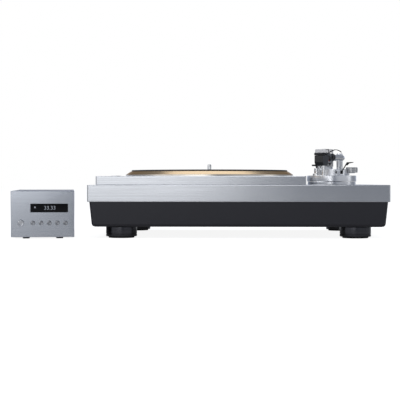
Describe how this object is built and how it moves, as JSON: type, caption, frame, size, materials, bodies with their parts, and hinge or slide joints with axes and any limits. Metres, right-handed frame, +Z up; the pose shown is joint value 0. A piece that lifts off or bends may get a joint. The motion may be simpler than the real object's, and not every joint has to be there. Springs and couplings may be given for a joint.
{
  "type": "turntable",
  "caption": "Record player with a turning platter, levelling feet and push buttons on a heavy plinth, a swinging and tilting S-shaped tonearm on a height pod, and a separate control unit.",
  "frame": {"origin": "centre of the whole object's footprint (plinth and control unit), on the floor under the soles", "axes": "+X to the right of a person in front, +Y to the back, +Z up; the front faces -Y"},
  "size_m": [0.7148, 0.4218, 0.1657],
  "materials": {
    "silver_plate": "brushed, clear anodised",
    "base_charcoal": "fine satin texture",
    "black_sheet": "satin black paint",
    "steel": "polished steel",
    "cast_alloy": "fine satin silver",
    "rotor_steel": "zinc plated steel",
    "weight_metal": "dense plain metal",
    "bearing_bronze": "turned bronze",
    "stator_board": "board with copper coils",
    "board_green": "printed board",
    "transformer_wrap": "wrapped ring",
    "platter_alloy": "turned and lightly brushed",
    "platter_brass": "turned brass",
    "mat_rubber": "matt rubber",
    "sole_rubber": "matt damping rubber",
    "foot_black": "black anodised",
    "button_alloy": "satin",
    "button_dark": "dark satin",
    "display_glass": "smoked, glossy",
    "arm_silver": "fine satin",
    "arm_dark": "satin black",
    "dial_silver": "satin with fine ribs",
    "weight_dark": "dark turned metal",
    "sockets": "plated brass"
  },
  "bodies": {
    "plinth": {"plinth_base": "base_charcoal", "plinth_top": "silver_plate", "bottom_cover": "black_sheet", "plinth_screws": "steel", "plinth_sockets": "sockets", "motor_deck": "silver_plate", "motor_housing": "cast_alloy", "bearing_housing": "bearing_bronze", "stator": "stator_board", "arm_bushing": "bearing_bronze"},
    "start_stop": {"start_stop_button": "button_alloy"},
    "speed_33": {"speed_button_33": "button_alloy"},
    "speed_45": {"speed_button_45": "button_alloy"},
    "speed_78": {"speed_button_78": "button_alloy"},
    "platter": {"spindle": "steel", "rotor": "rotor_steel", "platter_body": "platter_alloy", "inertia_weights": "weight_metal", "platter_top": "platter_brass", "platter_mat": "mat_rubber"},
    "height_ring": {"height_ring": "cast_alloy"},
    "arm_carrier": {"arm_carrier": "cast_alloy", "arm_base": "cast_alloy", "lift_cylinder": "arm_silver", "arm_rest": "arm_silver"},
    "lift_bar": {"lift_bar": "arm_dark"},
    "cue_lever": {"cue_lever": "arm_dark"},
    "anti_skate_dial": {"anti_skate_dial": "dial_silver"},
    "rest_clip": {"rest_clip": "arm_dark"},
    "gimbal": {"gimbal_yoke": "arm_silver"},
    "arm": {"bearing_block": "arm_silver", "arm_tube": "arm_silver", "headshell": "arm_dark", "finger_lift": "arm_dark", "cartridge": "arm_dark"},
    "headshell_nut": {"headshell_nut": "arm_dark"},
    "force_dial": {"force_dial": "dial_silver"},
    "counterweight": {"counterweight": "weight_dark"},
    "control_unit": {"control_chassis": "black_sheet", "control_cover": "black_sheet", "control_front_panel": "silver_plate", "display_window": "display_glass", "control_board": "board_green", "transformer": "transformer_wrap", "control_feet": "sole_rubber", "control_sockets": "sockets"},
    "sole_front_left": {"foot_sole_front_left": "sole_rubber"},
    "collar_front_left": {"foot_collar_front_left": "foot_black"},
    "sole_front_right": {"foot_sole_front_right": "sole_rubber"},
    "collar_front_right": {"foot_collar_front_right": "foot_black"},
    "sole_rear_left": {"foot_sole_rear_left": "sole_rubber"},
    "collar_rear_left": {"foot_collar_rear_left": "foot_black"},
    "sole_rear_right": {"foot_sole_rear_right": "sole_rubber"},
    "collar_rear_right": {"foot_collar_rear_right": "foot_black"},
    "power_button": {"power_button": "button_dark"},
    "pitch_button": {"pitch_button": "button_dark"},
    "minus_button": {"minus_button": "button_dark"},
    "plus_button": {"plus_button": "button_dark"},
    "display_button": {"display_button": "button_dark"},
    "dimmer_button": {"dimmer_button": "button_dark"}
  },
  "joints": [
    {"name": "level_front_left", "type": "slide", "parent": "plinth", "child": "sole_front_left", "axis": [0, 0, -1], "range_m": [0, 0.01]},
    {"name": "foot_turn_front_left", "type": "hinge", "parent": "sole_front_left", "child": "collar_front_left", "pos_m": [-0.11735, -0.14809, 0.0103], "axis": [0, 0, -1], "range_deg": [0, 1800]},
    {"name": "level_front_right", "type": "slide", "parent": "plinth", "child": "sole_front_right", "axis": [0, 0, -1], "range_m": [0, 0.01]},
    {"name": "foot_turn_front_right", "type": "hinge", "parent": "sole_front_right", "child": "collar_front_right", "pos_m": [0.30125, -0.14809, 0.0103], "axis": [0, 0, -1], "range_deg": [0, 1800]},
    {"name": "level_rear_left", "type": "slide", "parent": "plinth", "child": "sole_rear_left", "axis": [0, 0, -1], "range_m": [0, 0.01]},
    {"name": "foot_turn_rear_left", "type": "hinge", "parent": "sole_rear_left", "child": "collar_rear_left", "pos_m": [-0.11735, 0.15891, 0.0103], "axis": [0, 0, -1], "range_deg": [0, 1800]},
    {"name": "level_rear_right", "type": "slide", "parent": "plinth", "child": "sole_rear_right", "axis": [0, 0, -1], "range_m": [0, 0.01]},
    {"name": "foot_turn_rear_right", "type": "hinge", "parent": "sole_rear_right", "child": "collar_rear_right", "pos_m": [0.30125, 0.15891, 0.0103], "axis": [0, 0, -1], "range_deg": [0, 1800]},
    {"name": "start_stop_press", "type": "slide", "parent": "plinth", "child": "start_stop", "axis": [0, 0, -1], "range_m": [0, 0.001], "stiffness_N_per_m": 500, "springref_m": -0.0015},
    {"name": "speed_33_press", "type": "slide", "parent": "plinth", "child": "speed_33", "axis": [0, 0, -1], "range_m": [0, 0.001], "stiffness_N_per_m": 500, "springref_m": -0.0015},
    {"name": "speed_45_press", "type": "slide", "parent": "plinth", "child": "speed_45", "axis": [0, 0, -1], "range_m": [0, 0.001], "stiffness_N_per_m": 500, "springref_m": -0.0015},
    {"name": "speed_78_press", "type": "slide", "parent": "plinth", "child": "speed_78", "axis": [0, 0, -1], "range_m": [0, 0.001], "stiffness_N_per_m": 500, "springref_m": -0.0015},
    {"name": "platter_spin", "type": "hinge", "parent": "plinth", "child": "platter", "pos_m": [0.03645, 0.01591, 0.1136], "axis": [0, 0, -1], "continuous": true},
    {"name": "arm_height", "type": "slide", "parent": "plinth", "child": "arm_carrier", "axis": [0, 0, 1], "range_m": [0, 0.006]},
    {"name": "height_ring_turn", "type": "hinge", "parent": "plinth", "child": "height_ring", "pos_m": [0.27865, 0.08916, 0.0977], "axis": [0, 0, 1], "range_deg": [0, 300]},
    {"name": "arm_swing", "type": "hinge", "parent": "arm_carrier", "child": "gimbal", "pos_m": [0.26395, 0.08916, 0.1445], "axis": [0, 0, -1], "range_deg": [0, 54]},
    {"name": "arm_tilt", "type": "hinge", "parent": "gimbal", "child": "arm", "pos_m": [0.26395, 0.08916, 0.1445], "axis": [-0.9945, 0.1045, 0], "range_deg": [0, 4.5]},
    {"name": "headshell_nut_turn", "type": "hinge", "parent": "arm", "child": "headshell_nut", "pos_m": [0.25964, -0.11979, 0.1445], "axis": [0.454, 0.891, 0], "range_deg": [0, 90]},
    {"name": "weight_travel", "type": "slide", "parent": "arm", "child": "force_dial", "axis": [-0.1045, -0.9945, 0], "range_m": [0, 0.006]},
    {"name": "weight_turn", "type": "hinge", "parent": "force_dial", "child": "counterweight", "pos_m": [0.26813, 0.12894, 0.1445], "axis": [0.1045, 0.9945, 0], "range_deg": [0, 1080]},
    {"name": "anti_skate_turn", "type": "hinge", "parent": "arm_carrier", "child": "anti_skate_dial", "pos_m": [0.31875, 0.08916, 0.1224], "axis": [0, 0, -1], "range_deg": [0, 270]},
    {"name": "lifter_rise", "type": "slide", "parent": "arm_carrier", "child": "lift_bar", "axis": [0, 0, 1], "range_m": [0, 0.0048]},
    {"name": "cue_lever_turn", "type": "hinge", "parent": "arm_carrier", "child": "cue_lever", "pos_m": [0.29565, 0.05816, 0.1192], "axis": [1, 0, 0], "range_deg": [0, 50]},
    {"name": "rest_clip_turn", "type": "hinge", "parent": "arm_carrier", "child": "rest_clip", "pos_m": [0.26793, 0.04952, 0.1497], "axis": [-0.1045, -0.9945, 0], "range_deg": [0, 90]},
    {"name": "control_unit_place", "type": "slide", "parent": "plinth", "child": "control_unit", "axis": [-1, 0, 0], "range_m": [-0.015, 0.3]},
    {"name": "power_button_press", "type": "slide", "parent": "control_unit", "child": "power_button", "axis": [-0.1495, 0.9888, 0], "range_m": [0, 0.0012], "stiffness_N_per_m": 500, "springref_m": -0.0015},
    {"name": "pitch_button_press", "type": "slide", "parent": "control_unit", "child": "pitch_button", "axis": [-0.1495, 0.9888, 0], "range_m": [0, 0.0012], "stiffness_N_per_m": 500, "springref_m": -0.0015},
    {"name": "minus_button_press", "type": "slide", "parent": "control_unit", "child": "minus_button", "axis": [-0.1495, 0.9888, 0], "range_m": [0, 0.0012], "stiffness_N_per_m": 500, "springref_m": -0.0015},
    {"name": "plus_button_press", "type": "slide", "parent": "control_unit", "child": "plus_button", "axis": [-0.1495, 0.9888, 0], "range_m": [0, 0.0012], "stiffness_N_per_m": 500, "springref_m": -0.0015},
    {"name": "display_button_press", "type": "slide", "parent": "control_unit", "child": "display_button", "axis": [-0.1495, 0.9888, 0], "range_m": [0, 0.0012], "stiffness_N_per_m": 500, "springref_m": -0.0015},
    {"name": "dimmer_button_press", "type": "slide", "parent": "control_unit", "child": "dimmer_button", "axis": [-0.1495, 0.9888, 0], "range_m": [0, 0.0012], "stiffness_N_per_m": 500, "springref_m": -0.0015}
  ],
  "couplings": [
    {"joint": "foot_turn_front_left", "follows": "level_front_left", "rad_per_m": 3141.6},
    {"joint": "foot_turn_front_right", "follows": "level_front_right", "rad_per_m": 3141.6},
    {"joint": "foot_turn_rear_left", "follows": "level_rear_left", "rad_per_m": 3141.6},
    {"joint": "foot_turn_rear_right", "follows": "level_rear_right", "rad_per_m": 3141.6},
    {"joint": "height_ring_turn", "follows": "arm_height", "rad_per_m": 872.66},
    {"joint": "weight_turn", "follows": "weight_travel", "rad_per_m": 3141.6},
    {"joint": "cue_lever_turn", "follows": "lifter_rise", "rad_per_m": 181.8}
  ]
}
